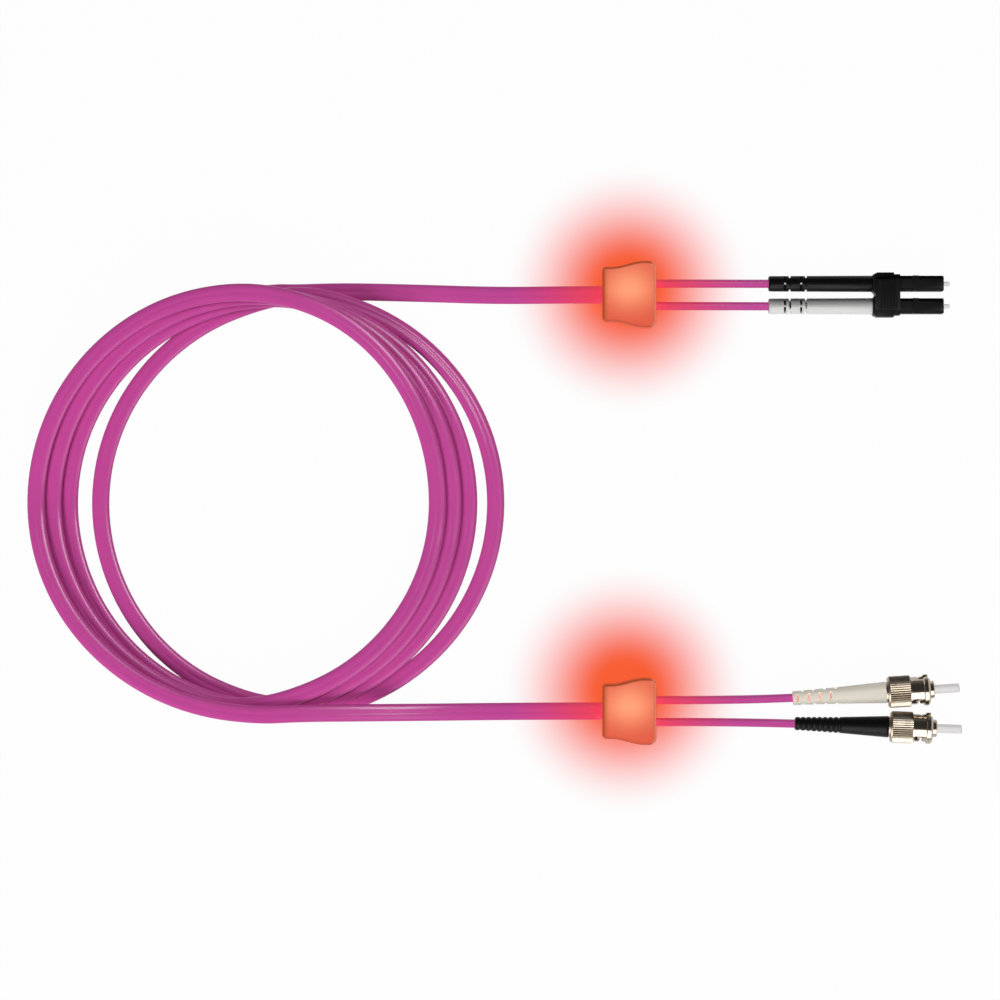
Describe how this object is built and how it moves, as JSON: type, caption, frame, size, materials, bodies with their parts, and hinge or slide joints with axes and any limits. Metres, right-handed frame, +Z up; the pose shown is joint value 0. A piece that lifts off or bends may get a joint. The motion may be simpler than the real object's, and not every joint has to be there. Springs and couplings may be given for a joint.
{
  "type": "fibre patch cord",
  "caption": "Coiled twin fibre patch cord with a glowing splitter near each end, a latched duplex plug at one end and knurled bayonet plugs at the other.",
  "frame": {"origin": "on the surface the cord lies on, under the middle of the plugs and splitters", "axes": "+X the way the plugs point, +Y from the bayonet end to the duplex end, +Z up"},
  "size_m": [0.2593, 0.1342, 0.0118],
  "materials": {
    "cord_jacket": "satin jacket",
    "splitter_shell": "clear orange",
    "board": "lacquered board",
    "lamp": "clear lens",
    "black_rubber": "satin",
    "white_rubber": "satin",
    "cream_rubber": "satin",
    "ceramic": "polished ceramic",
    "fibre": "buffered glass fibre",
    "spring_steel": "drawn wire",
    "nickel": "nickel plate",
    "plated_metal": "thin plate",
    "black_plastic": "fine texture"
  },
  "bodies": {
    "cord": {"lc_a_boot": "black_rubber", "lc_a_crimp": "plated_metal", "lc_a_housing": "black_plastic", "lc_a_rear_body": "black_plastic", "lc_a_spring": "spring_steel", "lc_b_boot": "white_rubber", "lc_b_crimp": "plated_metal", "lc_b_housing": "black_plastic", "lc_b_rear_body": "black_plastic", "lc_b_spring": "spring_steel", "lc_clip": "black_plastic", "leg_lc_a": "cord_jacket", "leg_lc_b": "cord_jacket", "leg_st_a": "cord_jacket", "leg_st_b": "cord_jacket", "splitter_lc_board": "board", "splitter_lc_lamp": "lamp", "splitter_lc_lower": "splitter_shell", "splitter_lc_upper": "splitter_shell", "splitter_st_board": "board", "splitter_st_lamp": "lamp", "splitter_st_lower": "splitter_shell", "splitter_st_upper": "splitter_shell", "st_a_barrel": "nickel", "st_a_boot": "cream_rubber", "st_a_crimp": "plated_metal", "st_a_ferrule": "ceramic", "st_a_fibre": "fibre", "st_a_ring": "nickel", "st_a_spring": "spring_steel", "st_b_barrel": "nickel", "st_b_boot": "black_rubber", "st_b_crimp": "plated_metal", "st_b_ferrule": "ceramic", "st_b_fibre": "fibre", "st_b_ring": "nickel", "st_b_spring": "spring_steel", "trunk_coil": "cord_jacket", "trunk_lead_lc": "cord_jacket", "trunk_lead_st": "cord_jacket"},
    "lc_trigger": {"lc_trigger": "black_plastic"},
    "lc_a_latch": {"lc_a_latch": "black_plastic"},
    "lc_a_ferrule_float": {"lc_a_ferrule": "ceramic", "lc_a_flange": "plated_metal", "lc_a_fibre": "fibre"},
    "lc_b_latch": {"lc_b_latch": "black_plastic"},
    "lc_b_ferrule_float": {"lc_b_ferrule": "ceramic", "lc_b_flange": "plated_metal", "lc_b_fibre": "fibre"},
    "st_a_washer": {"st_a_washer": "plated_metal"},
    "st_a_nut": {"st_a_nut": "nickel"},
    "st_b_washer": {"st_b_washer": "plated_metal"},
    "st_b_nut": {"st_b_nut": "nickel"}
  },
  "joints": [
    {"name": "lc_trigger_press", "type": "hinge", "parent": "cord", "child": "lc_trigger", "pos_m": [0.0264, 0.0578, 0.00655], "axis": [0, 1, 0], "range_deg": [0, 9], "stiffness_Nm_per_rad": 0.05},
    {"name": "lc_a_latch_flex", "type": "hinge", "parent": "cord", "child": "lc_a_latch", "pos_m": [0.0437, 0.06092, 0.00567], "axis": [0, 1, 0], "range_deg": [-3.1, 0]},
    {"name": "lc_a_ferrule_slide", "type": "slide", "parent": "cord", "child": "lc_a_ferrule_float", "axis": [1, 0, 0], "range_m": [-0.001, 0], "stiffness_N_per_m": 1000, "deforming": ["lc_a_spring"]},
    {"name": "lc_b_latch_flex", "type": "hinge", "parent": "cord", "child": "lc_b_latch", "pos_m": [0.0437, 0.05468, 0.00567], "axis": [0, 1, 0], "range_deg": [-3.1, 0]},
    {"name": "lc_b_ferrule_slide", "type": "slide", "parent": "cord", "child": "lc_b_ferrule_float", "axis": [1, 0, 0], "range_m": [-0.001, 0], "stiffness_N_per_m": 1000, "deforming": ["lc_b_spring"]},
    {"name": "st_a_nut_slide", "type": "slide", "parent": "cord", "child": "st_a_washer", "axis": [0.998, 0.0628, 0], "range_m": [0, 0.002], "stiffness_N_per_m": 1000, "deforming": ["st_a_spring"]},
    {"name": "st_a_nut_turn", "type": "hinge", "parent": "st_a_washer", "child": "st_a_nut", "pos_m": [0.04224, -0.05175, 0.00445], "axis": [0.998, 0.0628, 0], "continuous": true},
    {"name": "st_b_nut_slide", "type": "slide", "parent": "cord", "child": "st_b_washer", "axis": [0.9994, -0.0349, 0], "range_m": [0, 0.002], "stiffness_N_per_m": 1000, "deforming": ["st_b_spring"]},
    {"name": "st_b_nut_turn", "type": "hinge", "parent": "st_b_washer", "child": "st_b_nut", "pos_m": [0.04292, -0.06259, 0.00445], "axis": [0.9994, -0.0349, 0], "continuous": true}
  ],
  "couplings": [
    {"joint": "lc_a_latch_flex", "follows": "lc_trigger_press", "ratio": -0.34},
    {"joint": "lc_b_latch_flex", "follows": "lc_trigger_press", "ratio": -0.34}
  ]
}
